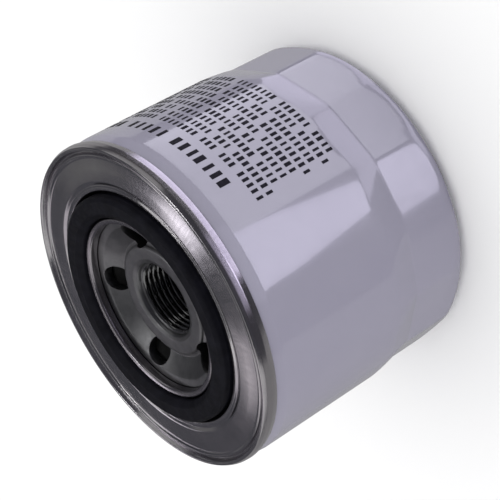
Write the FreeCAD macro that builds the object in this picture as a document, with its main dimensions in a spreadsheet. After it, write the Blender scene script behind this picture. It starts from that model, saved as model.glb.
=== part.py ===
"""Spin-on oil filter: painted can, seamed lid, threaded base plate, gasket and the element inside.

Frame: +Z runs along the filter's axis and out of its threaded end.  The filter stands on its
closed end, so z = 0 is the foot ring and the origin is at the centre of it.
All sizes are in millimetres.
"""
import FreeCAD, Part
import math
import os
import Sketcher

PARTS_DIR = "parts"

# Driving dimensions.  Each name is the alias of one spreadsheet cell.
SIZES = {
    # can
    "can_radius": 44.4,
    "can_inner_radius": 43.7,
    "can_top": 68.6,
    "can_neck_radius": 43.2,
    "can_neck_inner": 42.6,
    "neck_start": 64.3,
    "neck_end": 66.0,
    "inner_neck_drop": 1.5,
    "foot_radius": 37.7,
    "foot_inner_radius": 30.0,
    "end_recess": 1.2,
    "end_recess_radius": 27.5,
    "can_gauge": 0.6,
    "end_corner": 6.1,
    "flat_corner_radius": 43.8,
    "flat_apothem": 42.85,
    "flat_inner_radius": 42.1,
    "flat_top": 19.3,
    "flat_fade_top": 25.8,
    "inner_fade_rise": 2.0,
    "flat_count": 15,
    "flat_direction": 270.0,
    "flat_width": 24.0,
    "cut_margin": 1.0,
    # lid
    "seam_radius": 44.5,
    "seam_bottom": 66.4,
    "seam_edge_radius": 44.3,
    "seam_belly_bottom": 67.4,
    "seam_belly_top": 68.8,
    "seam_round_radius": 44.2,
    "seam_round_height": 69.9,
    "seam_crown_outer": 43.9,
    "seam_crown_inner": 43.2,
    "seam_top": 70.5,
    "seam_hook_radius": 43.75,
    "groove_radius": 42.6,
    "groove_floor": 69.1,
    "bead_outer": 42.1,
    "bead_outer_height": 69.7,
    "bead_inner": 41.5,
    "bead_top": 69.9,
    "band_outer": 40.9,
    "band_outer_height": 69.35,
    "band_middle": 37.6,
    "band_middle_height": 69.63,
    "band_inner": 34.6,
    "band_inner_height": 69.78,
    "rim_foot": 33.6,
    "rim_foot_height": 69.3,
    "rim_outer": 33.0,
    "rim_inner": 32.1,
    "rim_top": 69.6,
    "seat_outer": 31.6,
    "seat_inner": 24.9,
    "seat_floor": 66.3,
    "seat_chamfer": 0.5,
    "lip_outer": 24.8,
    "lip_inner": 23.2,
    "lip_crown": 24.0,
    "lip_shoulder": 69.6,
    "lip_top": 70.1,
    "lip_foot": 67.6,
    "lip_edge_gauge": 0.3,
    "lip_fold_gauge": 0.6,
    "lip_fold_drop": 0.5,
    "lid_gauge": 0.8,
    "seam_gap": 0.05,
    "hook_gap": 0.1,
    "compound_gap": 0.02,
    "compound_rise": 0.3,
    # gasket
    "gasket_inner": 25.1,
    "gasket_outer": 31.3,
    "gasket_floor": 66.35,
    "gasket_top": 71.9,
    "gasket_face_inner": 26.9,
    "gasket_face_outer": 30.3,
    "gasket_inner_shoulder": 70.1,
    "gasket_outer_shoulder": 70.9,
    "gasket_draft": 0.3,
    "gasket_round": 0.35,
    "gasket_bevel": 0.7,
    # threaded base plate
    "plate_radius": 40.0,
    "plate_top": 65.4,
    "plate_bottom": 62.9,
    "plate_step_outer": 23.8,
    "plate_step_inner": 23.3,
    "plate_step_top": 67.45,
    "plate_rim": 21.4,
    "plate_rim_top": 67.1,
    "moat_outer": 16.5,
    "moat_top": 64.3,
    "moat_inner": 15.8,
    "moat_inner_height": 64.2,
    "hub_foot_radius": 15.4,
    "hub_foot_height": 64.6,
    "hub_radius": 15.0,
    "hub_top": 65.3,
    "mouth_roll_radius": 11.4,
    "mouth_roll_height": 65.2,
    "mouth_radius": 10.3,
    "mouth_top": 64.75,
    "thread_minor_radius": 9.2,
    "thread_start": 63.2,
    "thread_exit": 0.6,
    "plate_under_step": 24.0,
    "plate_under_rim": 22.6,
    "plate_under_rim_height": 64.9,
    "plate_under_slope": 21.0,
    "plate_under_slope_height": 64.6,
    "plate_under_moat": 16.0,
    "plate_under_height": 61.5,
    "neck_radius": 12.6,
    "neck_bottom": 51.1,
    "inlet_count": 5,
    "inlet_radius": 3.6,
    "inlet_circle": 18.2,
    "inlet_angle": 229.4,
    # anti-drainback valve
    "valve_bore": 12.68,
    "valve_collar": 15.1,
    "valve_foot": 52.6,
    "valve_collar_top": 61.3,
    "valve_flap_root": 15.9,
    "valve_flap_rim": 20.9,
    "valve_flap_edge": 22.2,
    "valve_flap_height": 64.4,
    "valve_flap_gauge": 1.3,
    "valve_flap_shift": 0.6,
    "valve_edge_gauge": 0.6,
    # pleated element
    "cap_radius": 38.0,
    "cap_gauge": 0.6,
    "cap_rim_height": 3.4,
    "upper_cap_under": 55.0,
    "cup_outer": 16.1,
    "cup_inner": 15.5,
    "cup_floor": 50.4,
    "cup_hole": 10.6,
    "lower_cap_under": 9.9,
    "bypass_hole": 7.5,
    "glue_gauge": 1.5,
    "glue_inner": 17.3,
    "glue_outer": 37.2,
    "tube_inner": 16.4,
    "tube_outer": 17.1,
    "tube_hole_radius": 1.7,
    "tube_hole_pitch": 6.2,
    "tube_holes_per_row": 10,
    "tube_drill": 4.0,
    "pleat_count": 54,
    "pleat_inner": 17.7,
    "pleat_outer": 36.6,
    "paper_gauge": 0.4,
    "pleat_tip": 1.2,
    "clip_inner": 27.0,
    "clip_outer": 37.0,
    "clip_gauge": 0.7,
    # bypass valve
    "seal_gauge": 0.8,
    "seal_outer": 9.4,
    "disc_radius": 9.0,
    "disc_gauge": 1.0,
    "disc_gap": 0.05,
    "stem_radius": 1.6,
    "stem_length": 12.0,
    "stem_clearance": 0.08,
    "rivet_radius": 2.5,
    "rivet_gauge": 0.6,
    "cage_flange": 15.0,
    "cage_outer": 11.8,
    "cage_gauge": 0.7,
    "cage_height": 10.3,
    "cage_window": 3.0,
    "window_sill_drop": 7.5,
    "window_head_drop": 2.0,
    "bypass_coil_radius": 4.6,
    "bypass_wire": 0.45,
    "bypass_turns": 4.5,
    # element spring and its seat
    "seat_ring_outer": 19.0,
    "seat_ring_inner": 9.6,
    "seat_ring_gauge": 0.8,
    "seat_rim_inner": 16.4,
    "seat_rim_drop": 1.6,
    "coil_radius": 14.6,
    "coil_wire": 0.8,
    "coil_turns": 2.75,
}

INTERNAL_GAP = 0.1
EDGE_TOLERANCE = 0.01

doc = FreeCAD.newDocument("oil_filter")
sheet = doc.addObject("Spreadsheet::Sheet", "Sheet")
for row, (alias, number) in enumerate(SIZES.items(), start=1):
    sheet.set(f"A{row}", alias)
    sheet.set(f"B{row}", str(number))
    sheet.setAlias(f"B{row}", alias)
doc.recompute()

nodes = []


def is_number(word):
    """Tell whether a word of a size text is a plain number."""
    return word.replace(".", "", 1).isdigit()


def size(text):
    """Work out a size text such as 'seam_top - lid_gauge' from the sheet."""
    total = 0.0
    sign = 1
    for word in text.split():
        if word in ("+", "-"):
            sign = 1 if word == "+" else -1
        else:
            total += sign * (float(word) if is_number(word) else sheet.get(word))
    return total


def bound(text):
    """Turn a size text into an expression on the sheet."""
    words = [word if word in ("+", "-") or is_number(word) else f"Sheet.{word}" for word in text.split()]
    return " ".join(words)


def new_body(label):
    """Add a PartDesign body, and list it as a part to be written."""
    body = doc.addObject("PartDesign::Body", label)
    body.Label = label
    body.Placement = FreeCAD.Placement()
    nodes.append(body)
    return body


def origin_plane(body, role):
    """Find one of a body's own origin planes by its role."""
    return next(item for item in body.Origin.OriginFeatures if item.Role == role)


def draw_outline(body, name, corners, plane="XZ_Plane"):
    """Draw a closed outline of (across, up) size texts, each corner bound to the sheet."""
    sketch = body.newObject("Sketcher::SketchObject", name)
    sketch.AttachmentSupport = [(origin_plane(body, plane), "")]
    sketch.MapMode = "FlatFace"
    points = [FreeCAD.Vector(size(across), size(up), 0) for across, up in corners]
    count = len(points)
    for index in range(count):
        sketch.addGeometry(Part.LineSegment(points[index], points[(index + 1) % count]))
    for index, (across, up) in enumerate(corners):
        before = index - 1 if index else count - 1
        sketch.addConstraint(Sketcher.Constraint("Coincident", before, 2, index, 1))
        for kind, text in (("DistanceX", across), ("DistanceY", up)):
            number = sketch.addConstraint(Sketcher.Constraint(kind, -1, 1, index, 1, size(text)))
            sketch.setExpression(f"Constraints[{number}]", bound(text))
    return sketch


def revolve(body, corners):
    """Turn an outline in the XZ plane a full turn about the filter's axis."""
    sketch = draw_outline(body, f"{body.Label}_outline", corners)
    feature = body.newObject("PartDesign::Revolution", f"{body.Label}_turned")
    feature.Profile = sketch
    feature.ReferenceAxis = (sketch, ["V_Axis"])
    feature.Angle = 360
    sketch.Visibility = False
    doc.recompute()
    return feature


def turned_part(label, corners):
    """Make a sub-part that is one turned outline."""
    body = new_body(label)
    revolve(body, corners)
    return body


def pattern_around(body, feature, count_alias):
    """Repeat a feature evenly around the filter's axis."""
    pattern = body.newObject("PartDesign::PolarPattern", f"{feature.Label}_pattern")
    pattern.Originals = [feature]
    pattern.Axis = (origin_plane(body, "Z_Axis"), [""])
    pattern.Angle = 360
    pattern.setExpression("Occurrences", f"Sheet.{count_alias}")
    body.Tip = pattern
    doc.recompute()
    return pattern


def ring_edges(shape, radius, height):
    """Name the circular edges that have a given radius and height."""
    names = []
    for number, edge in enumerate(shape.Edges, start=1):
        curve = edge.Curve
        is_ring = isinstance(curve, Part.Circle) and abs(curve.Radius - radius) < EDGE_TOLERANCE
        if is_ring and abs(curve.Center.z - height) < EDGE_TOLERANCE:
            names.append(f"Edge{number}")
    return names


def round_ring(body, feature, radius, height, fillet_text):
    """Fillet one ring edge of a turned feature."""
    fillet = body.newObject("PartDesign::Fillet", f"{body.Label}_round")
    fillet.Base = (feature, ring_edges(feature.Shape, size(radius), size(height)))
    fillet.setExpression("Radius", bound(fillet_text))
    doc.recompute()
    return fillet


def can_body():
    """Deep-drawn can: recessed closed end, wrench flats, necked mouth under the lid's seam."""
    body = new_body("can_body")
    turned = revolve(body, [
        ("0", "end_recess"),
        ("end_recess_radius", "end_recess"),
        ("foot_inner_radius", "0"),
        ("flat_corner_radius", "0"),
        ("flat_corner_radius", "flat_top"),
        ("can_radius", "flat_fade_top"),
        ("can_radius", "neck_start"),
        ("can_neck_radius", "neck_end"),
        ("can_neck_radius", "can_top"),
        ("can_neck_inner", "can_top"),
        ("can_neck_inner", "neck_start"),
        ("can_inner_radius", "neck_start - inner_neck_drop"),
        ("can_inner_radius", "flat_fade_top + inner_fade_rise"),
        ("flat_inner_radius", "flat_top"),
        ("flat_inner_radius", "end_corner"),
        ("foot_radius", "can_gauge"),
        ("foot_inner_radius", "can_gauge"),
        ("end_recess_radius", "end_recess + can_gauge"),
        ("0", "end_recess + can_gauge"),
    ])
    rounded = round_ring(body, turned, "flat_corner_radius", "0", "end_corner")
    solid_volume = rounded.Shape.Volume
    # The flats are planes near the closed end, and lean out until they leave the round wall.
    cutter = draw_outline(body, "flat_outline", [
        ("flat_apothem", "0 - cut_margin"),
        ("flat_apothem", "flat_top"),
        ("can_radius", "flat_fade_top"),
        ("can_radius + cut_margin", "flat_fade_top"),
        ("can_radius + cut_margin", "0 - cut_margin"),
    ])
    flat = body.newObject("PartDesign::Pocket", "wrench_flat")
    flat.Profile = cutter
    flat.Midplane = True
    flat.setExpression("Length", bound("flat_width"))
    doc.recompute()
    pattern_around(body, flat, "flat_count")
    if body.Shape.Volume >= solid_volume:
        raise RuntimeError("the wrench flats cut nothing")
    # The first flat is cut square to +X, and the whole can is turned so that it faces -Y.
    turn = FreeCAD.Rotation(FreeCAD.Vector(0, 0, 1), size("flat_direction"))
    body.Placement = FreeCAD.Placement(FreeCAD.Vector(), turn)
    return body


def seam_lid():
    """Stamped lid: rolled outer seam, beaded band, gasket channel and inner lip."""
    return turned_part("seam_lid", [
        ("seam_edge_radius", "seam_bottom"),
        ("seam_radius", "seam_belly_bottom"),
        ("seam_radius", "seam_belly_top"),
        ("seam_round_radius", "seam_round_height"),
        ("seam_crown_outer", "seam_top"),
        ("seam_crown_inner", "seam_top"),
        ("groove_radius", "groove_floor"),
        ("bead_outer", "bead_outer_height"),
        ("bead_inner", "bead_top"),
        ("band_outer", "band_outer_height"),
        ("band_middle", "band_middle_height"),
        ("band_inner", "band_inner_height"),
        ("rim_foot", "rim_foot_height"),
        ("rim_outer", "rim_top"),
        ("rim_inner", "rim_top"),
        ("seat_outer", "rim_top - seat_chamfer"),
        ("seat_outer", "seat_floor"),
        ("seat_inner", "seat_floor"),
        ("lip_outer", "lip_shoulder"),
        ("lip_crown", "lip_top"),
        ("lip_inner", "lip_shoulder"),
        ("lip_inner", "lip_foot"),
        ("lip_inner + lip_edge_gauge", "lip_foot"),
        ("lip_inner + lip_fold_gauge", "lip_shoulder - lip_fold_drop"),
        ("lip_outer - lid_gauge", "seat_floor - lid_gauge"),
        ("seat_outer + lid_gauge", "seat_floor - lid_gauge"),
        ("seat_outer + lid_gauge", "rim_foot_height - lid_gauge"),
        ("band_middle", "band_middle_height - lid_gauge"),
        ("band_outer", "band_outer_height - lid_gauge"),
        ("groove_radius - lid_gauge", "groove_floor - lid_gauge"),
        ("can_neck_inner - seam_gap", "groove_floor - lid_gauge"),
        ("can_neck_inner - seam_gap", "can_top + hook_gap"),
        ("seam_hook_radius", "can_top + hook_gap"),
        ("seam_hook_radius", "seam_bottom"),
    ])


def seam_compound():
    """Sealing compound between the can's neck and the hook of the lid's seam."""
    return turned_part("seam_compound", [
        ("can_neck_radius + compound_gap", "seam_bottom + compound_rise"),
        ("seam_hook_radius - compound_gap", "seam_bottom + compound_rise"),
        ("seam_hook_radius - compound_gap", "can_top"),
        ("can_neck_radius + compound_gap", "can_top"),
    ])


def sealing_gasket():
    """Moulded rubber ring that seals on the engine's filter pad."""
    return turned_part("sealing_gasket", [
        ("gasket_inner", "gasket_floor"),
        ("gasket_outer", "gasket_floor"),
        ("gasket_outer", "gasket_outer_shoulder"),
        ("gasket_outer - gasket_draft", "gasket_top - gasket_round"),
        ("gasket_face_outer", "gasket_top"),
        ("gasket_face_inner", "gasket_top"),
        ("gasket_inner + gasket_bevel", "gasket_top - gasket_bevel"),
        ("gasket_inner", "gasket_inner_shoulder"),
    ])


def base_plate():
    """Thick threaded plate: dished round the hub, with a ring of oil inlet holes."""
    body = new_body("base_plate")
    turned = revolve(body, [
        ("plate_radius", "plate_bottom"),
        ("plate_radius", "plate_top"),
        ("plate_step_outer", "plate_top"),
        ("plate_step_inner", "plate_step_top"),
        ("plate_rim", "plate_rim_top"),
        ("moat_outer", "moat_top"),
        ("moat_inner", "moat_inner_height"),
        ("hub_foot_radius", "hub_foot_height"),
        ("hub_radius", "hub_top"),
        ("mouth_roll_radius", "mouth_roll_height"),
        ("mouth_radius", "mouth_top"),
        ("thread_minor_radius", "thread_start"),
        ("thread_minor_radius", "neck_bottom + thread_exit"),
        ("thread_minor_radius + thread_exit", "neck_bottom"),
        ("neck_radius", "neck_bottom"),
        ("neck_radius", "plate_under_height"),
        ("plate_under_moat", "plate_under_height"),
        ("plate_under_slope", "plate_under_slope_height"),
        ("plate_under_rim", "plate_under_rim_height"),
        ("plate_under_step", "plate_bottom"),
    ])
    solid_volume = turned.Shape.Volume
    sketch = body.newObject("Sketcher::SketchObject", "inlet_outline")
    sketch.AttachmentSupport = [(origin_plane(body, "XY_Plane"), "")]
    sketch.MapMode = "FlatFace"
    centre = FreeCAD.Vector(size("inlet_circle"), 0, 0)
    sketch.addGeometry(Part.Circle(centre, FreeCAD.Vector(0, 0, 1), size("inlet_radius")))
    across = sketch.addConstraint(Sketcher.Constraint("DistanceX", -1, 1, 0, 3, centre.x))
    sketch.addConstraint(Sketcher.Constraint("PointOnObject", 0, 3, -1))
    radius = sketch.addConstraint(Sketcher.Constraint("Radius", 0, size("inlet_radius")))
    sketch.setExpression(f"Constraints[{across}]", bound("inlet_circle"))
    sketch.setExpression(f"Constraints[{radius}]", bound("inlet_radius"))
    inlet = body.newObject("PartDesign::Pocket", "inlet_hole")
    inlet.Profile = sketch
    inlet.Reversed = True
    inlet.setExpression("Length", bound("plate_step_top + cut_margin"))
    doc.recompute()
    pattern_around(body, inlet, "inlet_count")
    if body.Shape.Volume >= solid_volume:
        raise RuntimeError("the inlet holes cut nothing")
    turn = FreeCAD.Rotation(FreeCAD.Vector(0, 0, 1), size("inlet_angle"))
    body.Placement = FreeCAD.Placement(FreeCAD.Vector(), turn)
    return body


def anti_drainback_valve():
    """Rubber ring round the plate's neck, whose flap closes the inlet holes from below."""
    return turned_part("anti_drainback_valve", [
        ("valve_bore", "valve_foot"),
        ("valve_collar", "valve_foot"),
        ("valve_collar", "valve_collar_top - valve_flap_gauge"),
        ("valve_flap_root + valve_flap_shift", "valve_collar_top - valve_flap_gauge"),
        ("valve_flap_rim + valve_flap_shift", "valve_flap_height - valve_flap_gauge"),
        ("valve_flap_edge", "valve_flap_height - valve_edge_gauge"),
        ("valve_flap_edge", "valve_flap_height"),
        ("valve_flap_rim", "valve_flap_height"),
        ("valve_flap_root", "valve_collar_top"),
        ("valve_bore", "valve_collar_top"),
    ])


def upper_end_cap():
    """Pressed cap with a drawn cup that takes the plate's neck."""
    return turned_part("upper_end_cap", [
        ("cup_hole", "cup_floor"),
        ("cup_outer", "cup_floor"),
        ("cup_outer", "upper_cap_under"),
        ("cap_radius - cap_gauge", "upper_cap_under"),
        ("cap_radius - cap_gauge", "upper_cap_under - cap_rim_height"),
        ("cap_radius", "upper_cap_under - cap_rim_height"),
        ("cap_radius", "upper_cap_under + cap_gauge"),
        ("cup_inner", "upper_cap_under + cap_gauge"),
        ("cup_inner", "cup_floor + cap_gauge"),
        ("cup_hole", "cup_floor + cap_gauge"),
    ])


def lower_end_cap():
    """Pressed cap that carries the bypass valve in its centre."""
    return turned_part("lower_end_cap", [
        ("bypass_hole", "lower_cap_under"),
        ("cap_radius", "lower_cap_under"),
        ("cap_radius", "lower_cap_under + cap_gauge + cap_rim_height"),
        ("cap_radius - cap_gauge", "lower_cap_under + cap_gauge + cap_rim_height"),
        ("cap_radius - cap_gauge", "lower_cap_under + cap_gauge"),
        ("bypass_hole", "lower_cap_under + cap_gauge"),
    ])


def glue_ring(label, floor_text):
    """Bead of potting compound that bonds the pleats to one end cap."""
    return turned_part(label, [
        ("glue_inner", floor_text),
        ("glue_outer", floor_text),
        ("glue_outer", f"{floor_text} + glue_gauge"),
        ("glue_inner", f"{floor_text} + glue_gauge"),
    ])


def add_shape(label, shape):
    """Add a sub-part whose shape is worked out by the functions of Part."""
    feature = doc.addObject("Part::Feature", label)
    feature.Label = label
    feature.Shape = shape
    feature.Placement = FreeCAD.Placement()
    nodes.append(feature)
    return feature


def polar(radius, degrees, height):
    """Point at a radius, angle and height about the filter's axis."""
    angle = math.radians(degrees)
    return FreeCAD.Vector(radius * math.cos(angle), radius * math.sin(angle), height)


def pleat_wire(inner, outer, tip_width, valley_width, height):
    """Closed zigzag of straight pleat walls, blunt at the outer tips and in the valleys."""
    count = int(size("pleat_count"))
    step = 360.0 / count
    points = []
    for index in range(count):
        middle = index * step
        outer_half = math.degrees(tip_width / outer / 2)
        inner_half = step / 2 - math.degrees(valley_width / inner / 2)
        points.append(polar(inner, middle - inner_half, height))
        points.append(polar(outer, middle - outer_half, height))
        points.append(polar(outer, middle + outer_half, height))
        points.append(polar(inner, middle + inner_half, height))
    return Part.makePolygon(points + points[:1])


def filter_media():
    """Ring of pleated paper between the two beads of potting compound."""
    floor = size("lower_cap_under + cap_gauge + glue_gauge")
    ceiling = size("upper_cap_under - glue_gauge")
    gauge = size("paper_gauge")
    wide = size("pleat_tip")
    narrow = wide - 2 * gauge
    outer = Part.Face(pleat_wire(size("pleat_inner") + gauge, size("pleat_outer"), wide, narrow, floor))
    inner = Part.Face(pleat_wire(size("pleat_inner"), size("pleat_outer") - gauge, narrow, wide, floor))
    ring = outer.cut(inner)
    return add_shape("filter_media", ring.extrude(FreeCAD.Vector(0, 0, ceiling - floor)))


def media_seam_clip():
    """Folded steel strip in one valley, where the ends of the paper meet."""
    floor = size("lower_cap_under + cap_gauge + glue_gauge")
    ceiling = size("upper_cap_under - glue_gauge")
    gauge = size("clip_gauge")
    clip = doc.addObject("Part::Box", "media_seam_clip")
    clip.Label = "media_seam_clip"
    clip.setExpression("Length", bound("clip_outer - clip_inner"))
    clip.setExpression("Width", bound("clip_gauge"))
    clip.Height = ceiling - floor
    angle = 180.0 / size("pleat_count")
    turn = FreeCAD.Rotation(FreeCAD.Vector(0, 0, 1), angle)
    corner = turn.multVec(FreeCAD.Vector(size("clip_inner"), -gauge / 2, floor))
    clip.Placement = FreeCAD.Placement(corner, turn)
    nodes.append(clip)
    return clip


def center_tube():
    """Perforated steel tube that keeps the paper from collapsing inwards."""
    floor = size("lower_cap_under + cap_gauge")
    ceiling = size("upper_cap_under")
    foot = FreeCAD.Vector(0, 0, floor)
    tube = Part.makeCylinder(size("tube_outer"), ceiling - floor, foot)
    tube = tube.cut(Part.makeCylinder(size("tube_inner"), ceiling - floor, foot))
    pitch = size("tube_hole_pitch")
    rows = int((ceiling - floor - pitch) // pitch)
    holes_per_row = int(size("tube_holes_per_row"))
    drill = size("tube_drill")
    drills = []
    for row in range(rows):
        height = floor + pitch * (row + 1)
        for hole in range(holes_per_row):
            degrees = 360.0 / holes_per_row * (hole + 0.5 * (row % 2))
            direction = polar(1, degrees, 0)
            start = polar(size("tube_outer") - drill / 2, degrees, height)
            drills.append(Part.makeCylinder(size("tube_hole_radius"), drill, start, direction))
    return add_shape("center_tube", tube.cut(Part.makeCompound(drills)))


def bypass_seat_seal():
    """Rubber ring bonded round the lower cap's centre hole."""
    return turned_part("bypass_seat_seal", [
        ("bypass_hole", "lower_cap_under + cap_gauge"),
        ("seal_outer", "lower_cap_under + cap_gauge"),
        ("seal_outer", "lower_cap_under + cap_gauge + seal_gauge"),
        ("bypass_hole", "lower_cap_under + cap_gauge + seal_gauge"),
    ])


DISC_FLOOR = "lower_cap_under + cap_gauge + seal_gauge + disc_gap"


def bypass_disc():
    """Steel disc of the bypass valve, with a hole for its stem."""
    return turned_part("bypass_disc", [
        ("stem_radius", DISC_FLOOR),
        ("disc_radius", DISC_FLOOR),
        ("disc_radius", f"{DISC_FLOOR} + disc_gauge"),
        ("stem_radius", f"{DISC_FLOOR} + disc_gauge"),
    ])


def bypass_stem():
    """Guide pin riveted in the disc; it slides in the cage."""
    return turned_part("bypass_stem", [
        ("0", f"{DISC_FLOOR} - rivet_gauge"),
        ("rivet_radius", f"{DISC_FLOOR} - rivet_gauge"),
        ("rivet_radius", DISC_FLOOR),
        ("stem_radius", DISC_FLOOR),
        ("stem_radius", f"{DISC_FLOOR} + stem_length"),
        ("0", f"{DISC_FLOOR} + stem_length"),
    ])


def bypass_cage():
    """Pressed cup with side windows that guides the stem and backs the spring."""
    body = new_body("bypass_cage")
    floor = "lower_cap_under + cap_gauge"
    turned = revolve(body, [
        ("cage_outer - cage_gauge", floor),
        ("cage_flange", floor),
        ("cage_flange", f"{floor} + cage_gauge"),
        ("cage_outer", f"{floor} + cage_gauge"),
        ("cage_outer", f"{floor} + cage_height"),
        ("stem_radius + stem_clearance", f"{floor} + cage_height"),
        ("stem_radius + stem_clearance", f"{floor} + cage_height - cage_gauge"),
        ("cage_outer - cage_gauge", f"{floor} + cage_height - cage_gauge"),
    ])
    solid_volume = turned.Shape.Volume
    sill = f"{floor} + cage_height - window_sill_drop"
    head = f"{floor} + cage_height - window_head_drop"
    window = draw_outline(body, "window_outline", [
        ("0 - cage_window", sill),
        ("cage_window", sill),
        ("cage_window", head),
        ("0 - cage_window", head),
    ])
    cut = body.newObject("PartDesign::Pocket", "cage_window_cut")
    cut.Profile = window
    cut.Midplane = True
    cut.setExpression("Length", bound("cage_outer + cage_outer + cut_margin"))
    doc.recompute()
    pattern = body.newObject("PartDesign::PolarPattern", "cage_window_pattern")
    pattern.Originals = [cut]
    pattern.Axis = (origin_plane(body, "Z_Axis"), [""])
    # Each cut opens two windows across from each other, so a second one at 90 degrees makes four.
    pattern.Angle = 90
    pattern.Occurrences = 2
    body.Tip = pattern
    doc.recompute()
    if body.Shape.Volume >= solid_volume:
        raise RuntimeError("the cage's windows cut nothing")
    return body


def coil(label, radius, wire, turns, floor, ceiling):
    """Round-wire compression spring between two heights."""
    rise = ceiling - floor - 2 * wire
    helix = Part.makeHelix(rise / turns, rise, radius)
    helix.Placement = FreeCAD.Placement(FreeCAD.Vector(0, 0, floor + wire), FreeCAD.Rotation())
    start = FreeCAD.Vector(radius, 0, floor + wire)
    section = Part.Wire(Part.makeCircle(wire, start, FreeCAD.Vector(0, 1, 0)))
    solid = Part.Wire(helix.Edges).makePipeShell([section], True, True)
    return add_shape(label, solid)


def bypass_spring():
    """Coil that holds the bypass disc on its seat."""
    floor = size(f"{DISC_FLOOR} + disc_gauge") + INTERNAL_GAP
    ceiling = size("lower_cap_under + cap_gauge + cage_height - cage_gauge") - INTERNAL_GAP
    return coil("bypass_spring", size("bypass_coil_radius"), size("bypass_wire"),
                size("bypass_turns"), floor, ceiling)


def spring_seat():
    """Pressed ring under the lower cap; its rim centres the element spring."""
    return turned_part("spring_seat", [
        ("seat_ring_inner", "lower_cap_under - seat_ring_gauge"),
        ("seat_rim_inner", "lower_cap_under - seat_ring_gauge"),
        ("seat_rim_inner", "lower_cap_under - seat_ring_gauge - seat_rim_drop"),
        ("seat_rim_inner + seat_ring_gauge", "lower_cap_under - seat_ring_gauge - seat_rim_drop"),
        ("seat_rim_inner + seat_ring_gauge", "lower_cap_under - seat_ring_gauge"),
        ("seat_ring_outer", "lower_cap_under - seat_ring_gauge"),
        ("seat_ring_outer", "lower_cap_under"),
        ("seat_ring_inner", "lower_cap_under"),
    ])


def element_spring():
    """Coil on the can's closed end that pushes the element up against the plate's neck."""
    floor = size("end_recess + can_gauge") + INTERNAL_GAP
    ceiling = size("lower_cap_under - seat_ring_gauge") - INTERNAL_GAP
    return coil("element_spring", size("coil_radius"), size("coil_wire"),
                size("coil_turns"), floor, ceiling)


can_body()
seam_lid()
seam_compound()
sealing_gasket()
base_plate()
anti_drainback_valve()
upper_end_cap()
glue_ring("upper_adhesive", "upper_cap_under - glue_gauge")
filter_media()
media_seam_clip()
glue_ring("lower_adhesive", "lower_cap_under + cap_gauge")
lower_end_cap()
center_tube()
bypass_seat_seal()
bypass_disc()
bypass_stem()
bypass_cage()
bypass_spring()
spring_seat()
element_spring()
doc.recompute()

for item in doc.Objects:
    if "Invalid" in item.State or "Error" in item.State:
        raise RuntimeError(f"{item.Label} failed: {item.State}")
for node in nodes:
    if node.Shape.isNull() or not node.Shape.isValid() or node.Shape.Volume <= 0:
        raise RuntimeError(f"{node.Label} has no valid solid")

os.makedirs(PARTS_DIR, exist_ok=True)
for node in nodes:
    node.Shape.exportStep(os.path.join(PARTS_DIR, f"{node.Label}.step"))
    print(node.Label, len(node.Shape.Solids), round(node.Shape.Volume, 1))
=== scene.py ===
"""Looks of the spin-on oil filter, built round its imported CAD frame.

The filter stands on its closed end at z = 0 with its threaded end up, so +Z is its axis.
Outlines are (radius, height, corner rounding) in millimetres; meshes are in metres.
"""

import math
import random

import bmesh
import bpy
from mathutils import Matrix, Vector


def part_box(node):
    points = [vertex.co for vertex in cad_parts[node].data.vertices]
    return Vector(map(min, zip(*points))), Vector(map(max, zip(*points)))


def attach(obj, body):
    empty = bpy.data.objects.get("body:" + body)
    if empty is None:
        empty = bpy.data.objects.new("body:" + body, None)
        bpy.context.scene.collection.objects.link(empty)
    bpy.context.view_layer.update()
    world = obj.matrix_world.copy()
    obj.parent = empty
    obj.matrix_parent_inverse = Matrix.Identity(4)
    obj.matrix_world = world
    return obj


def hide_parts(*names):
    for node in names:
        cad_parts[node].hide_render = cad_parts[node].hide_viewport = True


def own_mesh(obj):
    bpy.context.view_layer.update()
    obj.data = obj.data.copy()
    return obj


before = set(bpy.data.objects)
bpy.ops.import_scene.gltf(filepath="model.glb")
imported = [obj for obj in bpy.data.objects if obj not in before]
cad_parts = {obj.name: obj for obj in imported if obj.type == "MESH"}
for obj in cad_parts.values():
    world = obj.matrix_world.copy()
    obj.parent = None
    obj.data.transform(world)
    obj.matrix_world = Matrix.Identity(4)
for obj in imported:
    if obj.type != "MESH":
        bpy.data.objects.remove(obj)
bpy.context.scene.view_settings.view_transform = "Standard"
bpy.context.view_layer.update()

MM = 0.001
HOUSING = "housing"
ELEMENT = "element"

# Driving sizes in millimetres, read from the frame where a CAD node has them.
SEAM_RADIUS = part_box("seam_lid")[1].x / MM
SEAM_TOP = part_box("seam_lid")[1].z / MM
GASKET_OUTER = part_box("sealing_gasket")[1].x / MM
GASKET_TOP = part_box("sealing_gasket")[1].z / MM
CAN_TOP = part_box("can_body")[1].z / MM
CAN_RADIUS = 44.4
FLAT_COUNT = 15
FLAT_APOTHEM = 42.85
FLAT_TOP = 19.3
FLAT_FADE_TOP = 25.8
FLAT_DIRECTION = math.radians(270)
FLAT_EDGE_SOFTNESS = math.radians(1.4)
INLET_COUNT = 5
INLET_RADIUS = 3.6
INLET_CIRCLE = 18.2
CAMERA_AZIMUTH = math.radians(229.4)
THREAD_MINOR = 9.2
THREAD_MAJOR = 10.0
THREAD_PITCH = 1.5
THREAD_EXIT = 0.7
MOUTH_RADIUS = 9.95
MOUTH_TOP = 64.0
NECK_BOTTOM = 51.1
MIDDLE = Vector((0, 0, 35 * MM))


# ---------------------------------------------------------------- outlines and meshes

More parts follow.
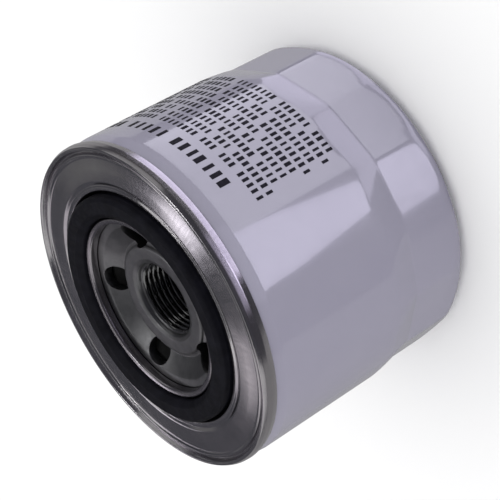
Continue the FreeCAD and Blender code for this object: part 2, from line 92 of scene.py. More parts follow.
def rounded(corners, steps=5, closed=True):
    """Turn (x, y, rounding) corners into (x, y) points with an arc at each rounded corner."""
    points = []
    count = len(corners)
    for index, (x, y, rounding) in enumerate(corners):
        here = Vector((x, y))
        at_end = not closed and index in (0, count - 1)
        if rounding <= 0 or at_end:
            points.append((x, y))
            continue
        before = Vector(corners[index - 1][:2]) - here
        after = Vector(corners[(index + 1) % count][:2]) - here
        half = before.angle(after) / 2
        reach = min(rounding / math.tan(half), before.length * 0.49, after.length * 0.49)
        radius = reach * math.tan(half)
        middle = (before.normalized() + after.normalized()).normalized()
        centre = here + middle * (radius / math.sin(half))
        start = here + before.normalized() * reach - centre
        end = here + after.normalized() * reach - centre
        turn = start.angle_signed(end)
        for step in range(steps + 1):
            spoke = Vector(start)
            spoke.rotate(Matrix.Rotation(-turn * step / steps, 2))
            points.append(tuple(centre + spoke))
    return points


def divided(points, longest):
    """Add points so that no stretch of an open outline is longer than a length."""
    result = []
    for here, there in zip(points, points[1:]):
        start = Vector(here)
        end = Vector(there)
        parts = max(1, math.ceil((end - start).length / longest))
        result += [tuple(start.lerp(end, part / parts)) for part in range(parts)]
    result.append(points[-1])
    return result


def lathe_mesh(mesh, outline, segments, closed=True, reshape=None):
    """Add a turned outline to a bmesh. reshape(radius, height, angle) may change each radius."""
    rings = []
    for radius, height in outline:
        if radius < 1e-6:
            rings.append([mesh.verts.new((0, 0, height * MM))] * segments)
            continue
        ring = []
        for step in range(segments):
            angle = 2 * math.pi * step / segments
            reach = reshape(radius, height, angle) if reshape else radius
            place = (reach * math.cos(angle) * MM, reach * math.sin(angle) * MM, height * MM)
            ring.append(mesh.verts.new(place))
        rings.append(ring)
    pairs = list(zip(rings, rings[1:]))
    if closed:
        pairs.append((rings[-1], rings[0]))
    for low, high in pairs:
        for step in range(segments):
            after = (step + 1) % segments
            corners = [low[step], low[after], high[after], high[step]]
            unique = list(dict.fromkeys(corners))
            if len(unique) > 2:
                mesh.faces.new(unique)


def finished(mesh, name, material, smooth_angle=38):
    """Make an object from a bmesh, with outward normals and smooth shading up to an angle."""
    bmesh.ops.remove_doubles(mesh, verts=mesh.verts, dist=1e-7)
    bmesh.ops.recalc_face_normals(mesh, faces=mesh.faces)
    data = bpy.data.meshes.new(name)
    mesh.to_mesh(data)
    mesh.free()
    data.shade_smooth()
    data.set_sharp_from_angle(angle=math.radians(smooth_angle))
    data.materials.append(material)
    piece = bpy.data.objects.new(name, data)
    bpy.context.scene.collection.objects.link(piece)
    return piece


def placed(piece, body, node):
    """Ride on a body and stand for a CAD node, which it hides."""
    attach(piece, body)
    if node:
        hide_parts(node)
    return piece


def turned_piece(name, corners, material, segments):
    """One closed turned outline as a piece."""
    mesh = bmesh.new()
    lathe_mesh(mesh, rounded(corners), segments)
    return finished(mesh, name, material)


# ---------------------------------------------------------------- materials

class Shader:
    """A material with its node tree and Principled shader at hand."""

    def __init__(self, name, colour, roughness, metallic=0.0):
        self.material = bpy.data.materials.new(name)
        self.material.use_nodes = True
        self.nodes = self.material.node_tree.nodes
        self.links = self.material.node_tree.links
        self.shader = self.nodes["Principled BSDF"]
        self.shader.inputs["Base Color"].default_value = (*colour, 1)
        self.shader.inputs["Roughness"].default_value = roughness
        self.shader.inputs["Metallic"].default_value = metallic
        self.place = self.nodes.new("ShaderNodeTexCoord").outputs["Object"]
        self.last_bump = None

    def noise(self, scale, detail=3.0, stretch=(1, 1, 1), place=None):
        """Noise over the object's own coordinates, in features per metre."""
        mapping = self.nodes.new("ShaderNodeMapping")
        mapping.inputs["Scale"].default_value = stretch
        self.links.new(place or self.place, mapping.inputs["Vector"])
        noise = self.nodes.new("ShaderNodeTexNoise")
        noise.inputs["Scale"].default_value = scale
        noise.inputs["Detail"].default_value = detail
        self.links.new(mapping.outputs["Vector"], noise.inputs["Vector"])
        return noise.outputs["Fac"]

    def around(self):
        """Coordinates that run round the filter's axis: turn, radius and height."""
        separate = self.nodes.new("ShaderNodeSeparateXYZ")
        self.links.new(self.place, separate.inputs["Vector"])
        turn = self.nodes.new("ShaderNodeMath")
        turn.operation = "ARCTAN2"
        self.links.new(separate.outputs["Y"], turn.inputs[0])
        self.links.new(separate.outputs["X"], turn.inputs[1])
        flat = self.nodes.new("ShaderNodeCombineXYZ")
        self.links.new(separate.outputs["X"], flat.inputs["X"])
        self.links.new(separate.outputs["Y"], flat.inputs["Y"])
        length = self.nodes.new("ShaderNodeVectorMath")
        length.operation = "LENGTH"
        self.links.new(flat.outputs["Vector"], length.inputs[0])
        combine = self.nodes.new("ShaderNodeCombineXYZ")
        self.links.new(turn.outputs["Value"], combine.inputs["X"])
        self.links.new(length.outputs["Value"], combine.inputs["Y"])
        self.links.new(separate.outputs["Z"], combine.inputs["Z"])
        return combine.outputs["Vector"]

    def ramp(self, factor, low, high, start=0.3, end=0.7):
        """Spread a factor between two colours."""
        ramp = self.nodes.new("ShaderNodeValToRGB")
        ramp.color_ramp.elements[0].position = start
        ramp.color_ramp.elements[0].color = (*low, 1)
        ramp.color_ramp.elements[1].position = end
        ramp.color_ramp.elements[1].color = (*high, 1)
        self.links.new(factor, ramp.inputs["Fac"])
        return ramp.outputs["Color"]

    def colour(self, factor, low, high, start=0.3, end=0.7):
        """Vary the base colour between two colours."""
        self.links.new(self.ramp(factor, low, high, start, end), self.shader.inputs["Base Color"])

    def roughness(self, factor, low, high, start=0.3, end=0.7):
        """Vary the roughness between two values."""
        spread = self.ramp(factor, (low, low, low), (high, high, high), start, end)
        self.links.new(spread, self.shader.inputs["Roughness"])

    def blend(self, socket, share, first, second):
        """Feed a shader socket with two varying inputs, mixed by a share.

        Inputs 6 and 7 and output 2 are the colour sockets of a mix node.
        """
        mix = self.nodes.new("ShaderNodeMix")
        mix.data_type = "RGBA"
        self.links.new(share, mix.inputs["Factor"])
        self.links.new(first, mix.inputs[6])
        self.links.new(second, mix.inputs[7])
        self.links.new(mix.outputs[2], self.shader.inputs[socket])

    def bump(self, factor, depth, strength=1.0):
        """Add relief of a depth in metres on top of the relief that is there."""
        bump = self.nodes.new("ShaderNodeBump")
        bump.inputs["Distance"].default_value = depth
        bump.inputs["Strength"].default_value = strength
        self.links.new(factor, bump.inputs["Height"])
        if self.last_bump:
            self.links.new(self.last_bump, bump.inputs["Normal"])
        self.last_bump = bump.outputs["Normal"]
        self.links.new(self.last_bump, self.shader.inputs["Normal"])


def can_paint():
    """Pale lavender-grey gloss enamel with a faint orange peel."""
    paint = Shader("can_paint", (0.29, 0.277, 0.352), 0.1)
    paint.shader.inputs["Coat Weight"].default_value = 0.6
    paint.shader.inputs["Coat Roughness"].default_value = 0.04
    paint.colour(paint.noise(60, 2), (0.287, 0.275, 0.35), (0.298, 0.286, 0.361))
    paint.roughness(paint.noise(250, 3), 0.10, 0.16)
    paint.bump(paint.noise(700, 2), 0.00001, 0.3)
    return paint.material


def worked_zones(metal, round_place):
    """Share of worked metal by radius: all of it at the lip and the seam, none between them."""
    radius = metal.nodes.new("ShaderNodeSeparateXYZ")
    metal.links.new(round_place, radius.inputs["Vector"])
    share = metal.nodes.new("ShaderNodeMapRange")
    share.inputs["From Max"].default_value = 50 * MM
    metal.links.new(radius.outputs["Y"], share.inputs["Value"])
    zones = metal.nodes.new("ShaderNodeValToRGB")
    stops = zones.color_ramp.elements
    stops[0].position = 0.50
    stops[0].color = (1, 1, 1, 1)
    stops[1].position = 0.52
    stops[1].color = (0, 0, 0, 1)
    stops.new(0.874).color = (0, 0, 0, 1)
    stops.new(0.886).color = (1, 1, 1, 1)
    metal.links.new(share.outputs["Result"], zones.inputs["Fac"])
    return zones.outputs["Color"]


def tin_plate():
    """Bare tin-plated steel, drawn round the axis; its rolled seam and lip are duller than its face."""
    metal = Shader("tin_plate", (0.60, 0.58, 0.60), 0.2, metallic=1.0)
    round_place = metal.around()
    worked = worked_zones(metal, round_place)
    face = metal.ramp(metal.noise(90, 3), (0.54, 0.525, 0.545), (0.66, 0.64, 0.655), 0.35, 0.68)
    rolled = metal.ramp(metal.noise(90, 3), (0.41, 0.39, 0.415), (0.47, 0.445, 0.465), 0.3, 0.7)
    metal.blend("Base Color", worked, face, rolled)
    streaks = metal.noise(1, 4, (60, 200, 200), round_place)
    polished = metal.ramp(streaks, (0.14, 0.14, 0.14), (0.21, 0.21, 0.21))
    dull = metal.ramp(streaks, (0.19, 0.19, 0.19), (0.27, 0.27, 0.27))
    metal.blend("Roughness", worked, polished, dull)
    metal.bump(metal.noise(1, 3, (2, 2600, 2600), round_place), 0.000004, 0.3)
    metal.bump(metal.noise(200, 2), 0.00001, 0.1)
    tangent = metal.nodes.new("ShaderNodeTangent")
    tangent.direction_type = "RADIAL"
    tangent.axis = "Z"
    metal.links.new(tangent.outputs["Tangent"], metal.shader.inputs["Tangent"])
    metal.shader.inputs["Anisotropic"].default_value = 0.6
    metal.shader.inputs["Anisotropic Rotation"].default_value = 0.25
    return metal.material


def plate_steel():
    """Dark phosphated plate with a fine grain."""
    metal = Shader("plate_steel", (0.245, 0.245, 0.25), 0.36, metallic=1.0)
    metal.colour(metal.noise(260, 4), (0.21, 0.21, 0.216), (0.28, 0.28, 0.286))
    metal.roughness(metal.noise(900, 3), 0.30, 0.44)
    metal.bump(metal.noise(1600, 3), 0.00002, 0.4)
    return metal.material


def thread_steel():
    """Cut thread: brighter steel with turning marks."""
    metal = Shader("thread_steel", (0.24, 0.24, 0.24), 0.16, metallic=1.0)
    marks = metal.noise(1, 3, (4, 3000, 9000), metal.around())
    metal.roughness(marks, 0.11, 0.22)
    metal.bump(marks, 0.00001, 0.5)
    return metal.material


def rubber(name, colour, roughness=0.55, shine=0.25):
    """Moulded nitrile rubber with a fine bloom."""
    skin = Shader(name, colour, roughness)
    lighter = tuple(part * 1.7 for part in colour)
    skin.colour(skin.noise(350, 4), colour, lighter, 0.4, 0.75)
    skin.roughness(skin.noise(700, 3), roughness - 0.08, roughness + 0.10)
    skin.bump(skin.noise(2500, 2), 0.00002, 0.35)
    skin.shader.inputs["Specular IOR Level"].default_value = shine
    return skin.material


def pressed_steel(name, colour, roughness):
    """Plain pressed steel sheet with faint handling marks."""
    metal = Shader(name, colour, roughness, metallic=1.0)
    darker = tuple(part * 0.8 for part in colour)
    metal.colour(metal.noise(150, 5), darker, colour)
    metal.roughness(metal.noise(420, 4), roughness - 0.06, roughness + 0.10)
    metal.bump(metal.noise(1200, 2), 0.00002, 0.3)
    return metal.material


def filter_paper():
    """Resin-treated cellulose paper with visible fibres."""
    paper = Shader("filter_paper", (0.72, 0.56, 0.30), 0.85)
    fibres = paper.noise(1800, 5, (1, 1, 0.25))
    paper.colour(fibres, (0.62, 0.46, 0.22), (0.80, 0.65, 0.38))
    paper.bump(fibres, 0.00006, 0.6)
    paper.shader.inputs["Sheen Weight"].default_value = 0.2
    return paper.material


def potting():
    """Brick-red plastisol with small bubbles."""
    resin = Shader("potting", (0.42, 0.12, 0.07), 0.45)
    bubbles = resin.noise(900, 3)
    resin.colour(resin.noise(200, 3), (0.36, 0.10, 0.06), (0.46, 0.14, 0.08))
    resin.bump(bubbles, 0.00008, 0.4)
    return resin.material


def print_ink():
    """Black screen-printing ink, slightly uneven."""
    ink = Shader("print_ink", (0.009, 0.008, 0.014), 0.5)
    ink.colour(ink.noise(1500, 3), (0.006, 0.005, 0.010), (0.016, 0.014, 0.024))
    ink.bump(ink.noise(2500, 2), 0.000005, 0.4)
    ink.shader.inputs["Specular IOR Level"].default_value = 0.15
    return ink.material


def sealing_compound():
    """Grey rubbery seam compound."""
    return rubber("compound", (0.16, 0.155, 0.14), 0.6)


# ---------------------------------------------------------------- visible pieces

def flat_reach(radius, height, angle):
    """Radius of the can's wall with the wrench flats pressed in near its closed end."""
    if height > FLAT_FADE_TOP + 1.5:
        return radius
    step = 2 * math.pi / FLAT_COUNT
    offset = abs((angle - FLAT_DIRECTION + step / 2) % step - step / 2)
    to_edge = step / 2 - offset
    soft = math.hypot(to_edge, FLAT_EDGE_SOFTNESS)
    lean = max(0.0, height - FLAT_TOP) * (CAN_RADIUS - FLAT_APOTHEM) / (FLAT_FADE_TOP - FLAT_TOP)
    plane = (FLAT_APOTHEM + lean) / math.cos(min(step / 2, max(0.0, step / 2 - soft)))
    blend = 0.6
    gap = max(blend - abs(radius - plane), 0.0) / blend
    return min(radius, plane) - gap * gap * blend / 4


def make_can(material):
    """Painted can: recessed closed end, wrench flats, round wall and necked mouth."""
    outline = [
        (0, 1.2, 0), (27.0, 1.2, 1.2), (30.0, 0, 1.6), (43.85, 0, 6.1),
        (43.95, 19.5, 6), (CAN_RADIUS, 26.0, 8), (CAN_RADIUS, 63.6, 4), (43.55, 66.2, 1.5),
        (43.2, 67.2, 1), (43.2, CAN_TOP, 0.1), (42.6, CAN_TOP, 0.1), (42.6, 64.4, 1), (43.7, 62.4, 1),
        (43.7, 27.8, 6), (42.1, FLAT_TOP, 6), (42.1, 0.6, 5.2), (30.2, 0.6, 1), (27.2, 1.8, 1), (0, 1.8, 0),
    ]
    points = divided(rounded(outline, 7, closed=False), 1.2)
    mesh = bmesh.new()
    lathe_mesh(mesh, points, 24 * FLAT_COUNT, closed=False, reshape=flat_reach)
    return placed(finished(mesh, "can_shell", material, 50), HOUSING, "can_body")


def make_lid(material):
    """Stamped lid: rolled seam, bead, band, gasket channel and inner lip."""
    top = SEAM_TOP
    corners = [
        (43.95, 66.3, 0.1), (44.0, 66.45, 0.2), (SEAM_RADIUS, 68.15, 1.2), (44.38, 69.5, 1.2),
        (43.85, top, 0.45), (43.15, top, 0.45), (42.65, 69.0, 0.22),
        (42.2, 69.0, 0.2), (41.9, 69.85, 0.3), (41.4, 69.9, 0.35), (40.9, 69.35, 0.6), (37.6, 69.63, 20),
        (34.6, 69.78, 1.2), (33.6, 69.3, 0.5), (33.0, 69.6, 0.35), (32.0, 69.6, 0.45), (31.6, 66.3, 0.6),
        (24.95, 66.3, 0.6), (24.85, top - 0.35, 0.5), (23.2, top - 0.7, 0.7), (23.15, 67.6, 0.12),
        (23.5, 67.6, 0.12), (23.75, 69.2, 0.3), (24.05, 69.2, 0.2), (24.1, 65.5, 0.5), (32.4, 65.5, 0.6),
        (32.6, 68.4, 0.5), (37.8, 68.95, 5), (41.2, 68.6, 1), (42.5, 68.3, 0.2), (42.55, 68.75, 0.1),
        (43.75, 68.75, 0.2), (43.75, 66.4, 0.2),
    ]
    return placed(turned_piece("lid_shell", corners, material, 384), HOUSING, "seam_lid")


def make_gasket(material):
    """Moulded sealing ring with soft edges and a fine mould line."""
    corners = [
        (25.1, 66.36, 0.2), (GASKET_OUTER, 66.36, 0.2), (GASKET_OUTER, 69.9, 0.05),
        (GASKET_OUTER - 0.06, 70.0, 0.05), (GASKET_OUTER - 0.12, 71.2, 0.8), (30.2, GASKET_TOP, 0.6),
        (26.9, GASKET_TOP, 0.7), (25.3, 70.6, 0.8),
    ]
    piece = turned_piece("gasket_ring", corners, material, 288)
    return placed(piece, HOUSING, "sealing_gasket")


def plate_with_thread(mesh, segments):
    """Add the turned plate, open at its bore, and close the bore with the helical thread."""
    corners = [
        (MOUTH_RADIUS, MOUTH_TOP, 0), (10.35, 64.8, 0.8), (11.5, 65.2, 1.2), (15.0, 65.3, 0.7),
        (15.4, 64.5, 0.3), (16.2, 64.25, 0.5), (21.2, 67.05, 2.0), (23.1, 67.43, 0.3), (23.35, 67.3, 0.15),
        (23.8, 65.4, 0.3), (40.0, 65.4, 0.4), (40.0, 62.9, 0.4), (24.0, 62.9, 0.4), (22.6, 64.9, 0.4),
        (21.0, 64.6, 0.5), (16.0, 61.5, 0.6), (12.6, 61.4, 0.3), (12.6, NECK_BOTTOM, 0.3),
        (THREAD_MINOR + THREAD_EXIT, NECK_BOTTOM, 0),
    ]
    outline = divided(rounded(corners, closed=False), 0.9)
    lathe_mesh(mesh, outline, segments, closed=False)
    per_turn = 12
    turns = math.ceil((MOUTH_TOP - NECK_BOTTOM) / THREAD_PITCH) + 1
    rows = []
    for row in range(turns * per_turn + 1):
        ring = []
        for step in range(segments + 1):
            rise = row / per_turn - 1 + step / segments
            height = NECK_BOTTOM + min(max(rise * THREAD_PITCH, 0), MOUTH_TOP - NECK_BOTTOM)
            ring.append(thread_point(height, 2 * math.pi * step / segments, rise % 1))
        rows.append([mesh.verts.new(place) for place in ring])
    for low, high in zip(rows, rows[1:]):
        for step in range(segments):
            mesh.faces.new((low[step], low[step + 1], high[step + 1], high[step]))


def thread_point(height, angle, phase):
    """Point of the internal thread: flat crests and roots, 60 degree flanks, chamfered ends."""
    crest = 0.16
    root = 0.12
    flank = (1 - crest - root) / 2
    mouth_slope = 0.95
    if phase < crest:
        depth = 0.0
    elif phase < crest + flank:
        depth = (phase - crest) / flank
    elif phase < crest + flank + root:
        depth = 1.0
    else:
        depth = (1 - phase) / flank
    radius = THREAD_MINOR + (THREAD_MAJOR - THREAD_MINOR) * depth
    top_cone = MOUTH_RADIUS - (MOUTH_TOP - height) * mouth_slope
    foot_cone = THREAD_MINOR + THREAD_EXIT - (height - NECK_BOTTOM)
    reach = max(radius, top_cone, foot_cone)
    if height >= MOUTH_TOP - 1e-6:
        reach = MOUTH_RADIUS
    if height <= NECK_BOTTOM + 1e-6:
        reach = THREAD_MINOR + THREAD_EXIT
    return (reach * math.cos(angle) * MM, reach * math.sin(angle) * MM, height * MM)


def inlet_cutter():
    """Five round drills at the inlet holes' places, as one object."""
    mesh = bmesh.new()
    radius = INLET_RADIUS * MM
    for index in range(INLET_COUNT):
        angle = CAMERA_AZIMUTH + 2 * math.pi * index / INLET_COUNT
        place = Vector((math.cos(angle), math.sin(angle), 0)) * INLET_CIRCLE * MM
        place.z = MOUTH_TOP * MM
        bmesh.ops.create_cone(
            mesh, cap_ends=True, segments=64, radius1=radius, radius2=radius, depth=20 * MM,
            matrix=Matrix.Translation(place),
        )
    data = bpy.data.meshes.new("inlet_cutter")
    mesh.to_mesh(data)
    mesh.free()
    cutter = bpy.data.objects.new("inlet_cutter", data)
    bpy.context.scene.collection.objects.link(cutter)
    return cutter


def apply_modifiers(piece):
    """Bake a piece's modifiers into its mesh."""
    bpy.context.view_layer.update()
    graph = bpy.context.evaluated_depsgraph_get()
    data = bpy.data.meshes.new_from_object(piece.evaluated_get(graph))
    piece.modifiers.clear()
    piece.data = data


def make_plate(plate_material, thread_material):
    """Dished base plate with its threaded hub and five inlet holes."""
    mesh = bmesh.new()
    plate_with_thread(mesh, 240)
    piece = finished(mesh, "threaded_plate", plate_material)
    cutter = inlet_cutter()
    cut = piece.modifiers.new("inlets", "BOOLEAN")
    cut.operation = "DIFFERENCE"
    cut.solver = "EXACT"
    cut.object = cutter
    edge = piece.modifiers.new("hole_edges", "BEVEL")
    edge.width = 0.22 * MM
    edge.segments = 2
    edge.limit_method = "ANGLE"
    edge.angle_limit = math.radians(50)
    apply_modifiers(piece)
    bpy.data.objects.remove(cutter)
    piece.data.materials.append(thread_material)
    for face in piece.data.polygons:
        centre = face.center / MM
        in_bore = math.hypot(centre.x, centre.y) < THREAD_MAJOR + 0.15
        face.material_index = 1 if in_bore and centre.z < MOUTH_TOP - 0.4 else 0
    piece.data.shade_smooth()
    piece.data.set_sharp_from_angle(angle=math.radians(32))
    return placed(piece, HOUSING, "base_plate")


def make_drainback_valve(material):
    """Rubber ring whose thin flap lies under the inlet holes."""
    corners = [
        (12.7, 52.6, 0.3), (15.1, 52.6, 0.3), (15.1, 60.0, 0.6), (16.5, 60.0, 0.8), (21.5, 63.1, 0.8),
        (22.2, 63.8, 0.3), (22.2, 64.4, 0.25), (20.9, 64.4, 0.6), (15.9, 61.3, 0.6), (12.7, 61.3, 0.2),
    ]
    piece = turned_piece("drainback_ring", corners, material, 160)
    return placed(piece, "drainback_flap", "anti_drainback_valve")


# ---------------------------------------------------------------- print

def add_ink_block(mesh, start, end, low, high):
    """One block of ink on the can's round wall, between two angles and two heights."""
    under = CAN_RADIUS - 0.02
    over = CAN_RADIUS + 0.035
    longest = math.radians(1.0)
    parts = max(1, math.ceil((end - start) / longest))
    columns = []
    for part in range(parts + 1):
        angle = start + (end - start) * part / parts
        column = []
        for reach, height in ((under, low), (over, low), (over, high), (under, high)):
            place = Vector((reach * math.cos(angle), reach * math.sin(angle), height)) * MM
            column.append(mesh.verts.new(place))
        columns.append(column)
    for left, right in zip(columns, columns[1:]):
        for side in range(4):
            after = (side + 1) % 4
            mesh.faces.new((left[side], right[side], right[after], left[after]))
    mesh.faces.new(columns[0])
    mesh.faces.new(list(reversed(columns[-1])))


def print_line(mesh, chance, first, last, height, tall, cell):
    """One line of plain blocks, set in groups like words, with no letters."""
    word_gap = 0.9
    angle = first
    while angle < last:
        for _ in range(chance.randint(2, 9)):
            width = cell * chance.uniform(0.36, 0.60)
            if angle + width > last:
                return
            add_ink_block(mesh, angle, angle + width, height - tall / 2, height + tall / 2)
            angle += cell
        angle += cell * word_gap


def make_print(material):
    """Heading and nine lines of plain blocks where such a can carries its instructions."""
    chance = random.Random(7)
    mesh = bmesh.new()
    heading_start = CAMERA_AZIMUTH + math.radians(20.5)
    heading_end = heading_start + math.radians(78)
    heading_height = 56.95
    heading_tall = 3.2
    print_line(mesh, chance, heading_start, heading_end, heading_height, heading_tall, math.radians(3.7))
    left = CAMERA_AZIMUTH + math.radians(14.0)
    mark_start = left - math.radians(2.6)
    mark_end = mark_start + math.radians(1.0)
    line_tall = 1.9
    line_pitch = 2.95
    first_height = 51.8
    marked_lines = (0, 1, 5, 7)
    for line in range(9):
        height = first_height - line_pitch * line
        if line in marked_lines:
            add_ink_block(mesh, mark_start, mark_end, height - line_tall / 2, height + line_tall / 2)
        last = left + math.radians(chance.uniform(76, 90))
        print_line(mesh, chance, left, last, height, line_tall, math.radians(2.25))
    piece = finished(mesh, "instruction_bars", material)
    return placed(piece, HOUSING, None)


# ---------------------------------------------------------------- inner pieces

def coil_points(radius, floor, ceiling, wire, turns):
    """Centre line of a spring whose end coils lie flat, as closed and ground ends do."""
    points = []
    per_turn = 40
    low = floor + wire
    high = ceiling - wire
    total = turns + 2
    flat_end = 0.85
    ease = 0.35
    for step in range(int(total * per_turn) + 1):
        turn = step / per_turn
        even = min(max((turn - flat_end) / (total - 2 * flat_end), 0), 1)
        share = even * even * (3 - 2 * even) * ease + even * (1 - ease)
        rise = low + (high - low) * share
        angle = 2 * math.pi * turn
        points.append(Vector((radius * math.cos(angle), radius * math.sin(angle), rise)) * MM)
    return points


def make_spring(name, radius, wire, turns, floor, ceiling, material):
    """Round-wire spring as a mesh tube along its centre line."""
    mesh = bmesh.new()
    rings = []
    sides = 14
    for place in coil_points(radius, floor, ceiling, wire, turns):
        outward = Vector((place.x, place.y, 0)).normalized()
        ring = []
        for side in range(sides):
            angle = 2 * math.pi * side / sides
            offset = outward * math.cos(angle) + Vector((0, 0, math.sin(angle)))
            ring.append(mesh.verts.new(place + offset * wire * MM))
        rings.append(ring)
    for near, far in zip(rings, rings[1:]):
        for side in range(sides):
            after = (side + 1) % sides
            mesh.faces.new((near[side], near[after], far[after], far[side]))
    mesh.faces.new(rings[0])
    mesh.faces.new(list(reversed(rings[-1])))
    return finished(mesh, name, material, 60)


def pleat_line():
    """Centre line of the folded paper: round folds on two circles, joined by straight sides."""
    pleats = 54
    inner = 17.95
    outer = 36.35
    fold_width = 0.42
    steps = 6
    line = []
    for index in range(pleats):
        for offset, reach, bulge in ((-0.5, inner, -1), (0.0, outer, 1)):
            fold = 2 * math.pi * (index + offset) / pleats
            for step in range(steps + 1):
                swing = math.pi * (step / steps - 0.5)
                radius = reach + bulge * fold_width * (math.cos(swing) - 1)
                angle = fold + math.sin(swing) * fold_width / reach
                line.append(Vector((radius * math.cos(angle), radius * math.sin(angle))))
    return line


def make_pleats(material):
    """Pleated paper ring with round folds."""
    low, high = (corner.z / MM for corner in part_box("filter_media"))
    gauge = 0.4
    line = pleat_line()
    total = len(line)
    mesh = bmesh.new()
    columns = []
    for index, place in enumerate(line):
        along = (line[(index + 1) % total] - line[index - 1]).normalized()
        across = Vector((-along.y, along.x)) * gauge / 2
        column = []
        for side, height in ((1, low), (-1, low), (-1, high), (1, high)):
            spot = place + across * side
            column.append(mesh.verts.new((spot.x * MM, spot.y * MM, height * MM)))
        columns.append(column)
    for index in range(total):
        left = columns[index]
        right = columns[(index + 1) % total]
        for side in range(4):
            after = (side + 1) % 4
            mesh.faces.new((left[side], right[side], right[after], left[after]))
    piece = finished(mesh, "pleated_paper", material, 40)
    return placed(piece, ELEMENT, "filter_media")


def make_springs(material):
    """Both springs, each sized to fit between its seats and riding on a body."""
    gap = 0.05
    seat_gauge = 0.8
    cage_gauge = 0.7
    floor = 1.8 + gap
    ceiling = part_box("spring_seat")[1].z / MM - seat_gauge - gap
    big = make_spring("element_coil", 14.6, 0.8, 1.6, floor, ceiling, material)
    placed(big, HOUSING, "element_spring")
    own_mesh(big)
    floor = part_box("bypass_disc")[1].z / MM + gap
    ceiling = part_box("bypass_cage")[1].z / MM - cage_gauge - gap
    small = make_spring("bypass_coil", 4.6, 0.45, 3.2, floor, ceiling, material)
    placed(small, ELEMENT, "bypass_spring")
    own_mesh(small)


def dress_nodes(materials):
    """Give the CAD nodes that stay in view their procedural materials."""
    for node, material in materials.items():
        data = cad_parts[node].data
        data.materials.clear()
        data.materials.append(material)


# ---------------------------------------------------------------- studio

def emitter(name, brightness, colour=(1, 1, 1)):
    """Plain glowing material of a studio light card."""
    material = bpy.data.materials.new(name)
    material.use_nodes = True
    nodes = material.node_tree.nodes
    nodes.remove(nodes["Principled BSDF"])
    glow = nodes.new("ShaderNodeEmission")
    glow.inputs["Color"].default_value = (*colour, 1)
    glow.inputs["Strength"].default_value = brightness
    material.node_tree.links.new(glow.outputs["Emission"], nodes["Material Output"].inputs["Surface"])
    return material


def only_in_reflections(piece):
    """Studio equipment that shows only as a reflection in glossy surfaces."""
    piece.visible_camera = False
    piece.visible_diffuse = False
    piece.visible_transmission = False
    piece.visible_shadow = False


def direction(azimuth, elevation):
    """Unit vector at an azimuth from the camera's side and an elevation, both in degrees."""
    turn = CAMERA_AZIMUTH + math.radians(azimuth)
    lift = math.radians(elevation)
    return Vector((math.cos(lift) * math.cos(turn), math.cos(lift) * math.sin(turn), math.sin(lift)))


def light_card(name, brightness, rows, colour=(1, 1, 1)):
    """Curved light card round the filter, through rows of (elevation, first azimuth, last azimuth)."""
    mesh = bmesh.new()
    distance = 1.2
    steps = 12
    lines = []
    for low, high in zip(rows, rows[1:]):
        for step in range(steps + 1):
            lines.append([start + (end - start) * step / steps for start, end in zip(low, high)])
    grid = []
    for lift, first, last in lines:
        turns = [first + (last - first) * step / steps for step in range(steps + 1)]
        grid.append([mesh.verts.new(MIDDLE + distance * direction(turn, lift)) for turn in turns])
    for under, over in zip(grid, grid[1:]):
        for step in range(steps):
            mesh.faces.new((under[step], under[step + 1], over[step + 1], over[step]))
    only_in_reflections(finished(mesh, name, emitter(name, brightness, colour)))


def make_dome():
    """Dim surroundings that bare metal reflects: darkest high up, lighter again right overhead."""
    mesh = bmesh.new()
    bmesh.ops.create_icosphere(mesh, subdivisions=4, radius=2.5)
    material = emitter("studio_dome", 1.0)
    nodes = material.node_tree.nodes
    links = material.node_tree.links
    place = nodes.new("ShaderNodeTexCoord").outputs["Generated"]
    separate = nodes.new("ShaderNodeSeparateXYZ")
    links.new(place, separate.inputs["Vector"])
    ramp = nodes.new("ShaderNodeValToRGB")
    stops = ramp.color_ramp.elements
    stops[0].color = (0.085, 0.085, 0.095, 1)
    stops[1].color = (0.11, 0.11, 0.12, 1)
    stops[1].position = 0.985
    for position, grey in ((0.78, 0.075), (0.93, 0.045)):
        stops.new(position).color = (grey, grey, grey * 1.15, 1)
    links.new(separate.outputs["Z"], ramp.inputs["Fac"])
    links.new(ramp.outputs["Color"], nodes["Emission"].inputs["Color"])
    only_in_reflections(finished(mesh, "studio_dome", material))


def make_lights():
    """Light cards: the main box, panels all round for the can, high ones for the lid, lip and mouth."""
    cool = (1.0, 0.95, 1.2)
    light_card("main_card", 3.5, [(-40, -17, -8), (-33.3, -18, 5), (-29.7, -25, 12), (-25, -28, 16)], cool)
    light_card("main_upper_card", 0.5, [(-22, -30, 20), (14, -30, 20)], cool)
    light_card("side_card", 1.8, [(-37, 13, 104), (-26, 13, 104)], (1.0, 0.98, 1.12))
    light_card("side_upper_card", 0.12, [(-23, 24, 104), (7, 24, 104)])
    light_card("left_card", 0.33, [(-65, -175, -64), (4, -175, -64)])
    light_card("far_card", 0.42, [(-65, 118, 182), (4, 118, 182)])
    light_card("lid_card", 1.9, [(33, 176.8, 178.9), (41, 168.5, 176.6), (47, 162, 174.5)], (1.0, 0.96, 1.04))
    light_card("lid_fill_card", 0.6, [(32, 183, 190), (43, 190, 232), (50, 196, 250)], (1.0, 0.94, 1.0))
    light_card("lid_side_card", 0.16, [(25, 150, 172), (37, 150, 167)])
    light_card("bore_card", 8.0, [(64, 104, 118), (74, 102, 120)])
    light_card("lip_card", 0.75, [(51, 95, 250), (62, 95, 250)])
    light_card("low_card", 1.6, [(-64, -14, 58), (-42, -14, 58)], cool)
    light_card("flat_card", 1.4, [(-66, 59, 118), (-38, 59, 118)], cool)
    light_card("left_upper_card", 0.6, [(10, -130, -66), (48, -130, -66)])
    light_card("right_upper_card", 0.4, [(8, 60, 112), (34, 60, 112)])


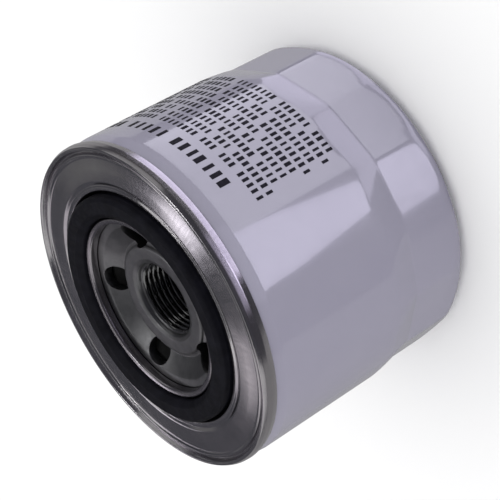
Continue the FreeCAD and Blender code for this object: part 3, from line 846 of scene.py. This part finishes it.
def make_floor():
    """Plain pale floor under the closed end."""
    mesh = bmesh.new()
    reach = 4.0
    corners = ((-reach, -reach), (reach, -reach), (reach, reach), (-reach, reach))
    mesh.faces.new([mesh.verts.new((x, y, -0.1 * MM)) for x, y in corners])
    pale = Shader("studio_floor", (0.95, 0.95, 0.95), 0.9)
    floor = finished(mesh, "studio_floor", pale.material)
    floor.visible_glossy = False


def make_world():
    """Even white light from all round, kept out of reflections."""
    world = bpy.data.worlds.new("studio")
    world.use_nodes = True
    backdrop = world.node_tree.nodes["Background"]
    backdrop.inputs["Color"].default_value = (1, 1, 1, 1)
    backdrop.inputs["Strength"].default_value = 1.15
    world.cycles_visibility.glossy = False
    bpy.context.scene.world = world


def make_camera():
    """Long lens from above the open end, rolled so that the filter's mouth faces lower left."""
    sensor = 36
    lens_px = 1588.94
    frame_px = 500
    off_axis = 1.0458
    roll = -2.0972
    target = Vector((0, 0, SEAM_TOP - 0.7925 * SEAM_RADIUS)) * MM
    distance = 9.2329 * SEAM_RADIUS * MM
    side = Vector((math.cos(CAMERA_AZIMUTH), math.sin(CAMERA_AZIMUTH), 0))
    back = side * math.sin(off_axis) + Vector((0, 0, math.cos(off_axis)))
    up = -side * math.cos(off_axis) + Vector((0, 0, math.sin(off_axis)))
    right = up.cross(back)
    turned_right = right * math.cos(roll) + up * math.sin(roll)
    turned_up = up * math.cos(roll) - right * math.sin(roll)
    camera = bpy.data.cameras.new("camera")
    camera.sensor_width = sensor
    camera.lens = lens_px * sensor / frame_px
    camera.shift_x = -1.889 / frame_px
    camera.shift_y = -1.429 / frame_px
    seat = bpy.data.objects.new("camera", camera)
    axes = Matrix((turned_right, turned_up, back)).transposed()
    seat.matrix_world = Matrix.Translation(target + back * distance) @ axes.to_4x4()
    bpy.context.scene.collection.objects.link(seat)
    bpy.context.scene.camera = seat


# ---------------------------------------------------------------- build

cap_steel = pressed_steel("cap_steel", (0.60, 0.60, 0.58), 0.32)
tube_steel = pressed_steel("tube_steel", (0.52, 0.52, 0.52), 0.30)
spring_steel = pressed_steel("spring_steel", (0.34, 0.34, 0.36), 0.28)
valve_rubber = rubber("valve_rubber", (0.004, 0.004, 0.004), 0.5, 0.12)
potting_resin = potting()

make_can(can_paint())
make_lid(tin_plate())
make_gasket(rubber("gasket_rubber", (0.005, 0.005, 0.0085), 0.5, 0.13))
make_plate(plate_steel(), thread_steel())
make_drainback_valve(valve_rubber)
make_print(print_ink())
make_pleats(filter_paper())
make_springs(spring_steel)
dress_nodes({
    "seam_compound": sealing_compound(),
    "upper_end_cap": cap_steel,
    "upper_adhesive": potting_resin,
    "media_seam_clip": cap_steel,
    "lower_adhesive": potting_resin,
    "lower_end_cap": cap_steel,
    "center_tube": tube_steel,
    "bypass_seat_seal": valve_rubber,
    "bypass_disc": tube_steel,
    "bypass_stem": tube_steel,
    "bypass_cage": cap_steel,
    "spring_seat": cap_steel,
})

make_floor()
make_world()
make_dome()
make_lights()
make_camera()
